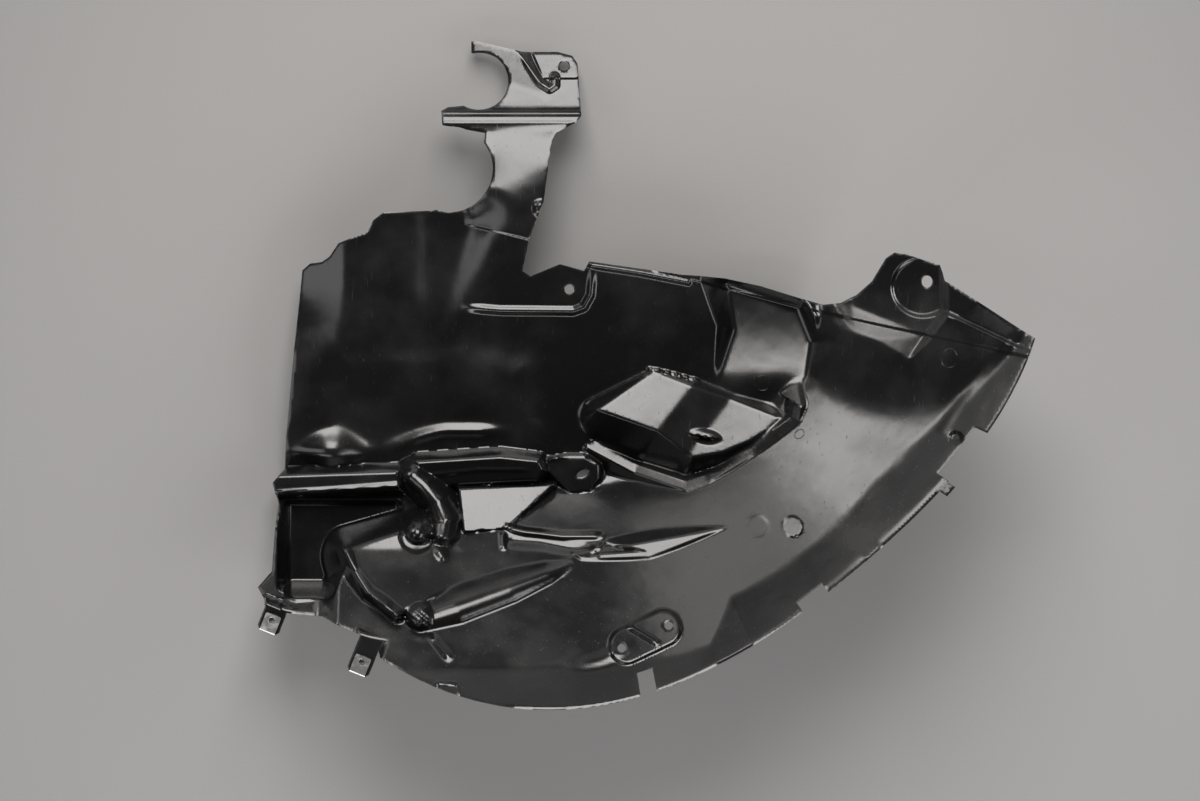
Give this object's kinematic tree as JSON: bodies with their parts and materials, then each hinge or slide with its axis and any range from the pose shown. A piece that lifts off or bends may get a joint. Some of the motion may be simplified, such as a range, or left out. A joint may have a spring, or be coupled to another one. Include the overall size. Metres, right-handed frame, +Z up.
{
  "type": "wheel arch liner",
  "caption": "Moulded black plastic front section of a front wheel arch liner, with spring nuts on its lower tabs.",
  "frame": {"origin": "on the floor under the middle of the liner's box, as it lies on its back", "axes": "+Z up, the wheel's side of the liner faces up, +X along its longest extent to the rim's end, +Y towards the arm"},
  "size_m": [0.5752, 0.492, 0.1765],
  "materials": {
    "liner_plastic": "semi-gloss moulded black polypropylene",
    "nut_steel": "dull zinc-plated spring steel"
  },
  "bodies": {
    "root": {"arch_liner": "liner_plastic", "spring_nut_corner": "nut_steel", "spring_nut_lower": "nut_steel"}
  },
  "joints": []
}
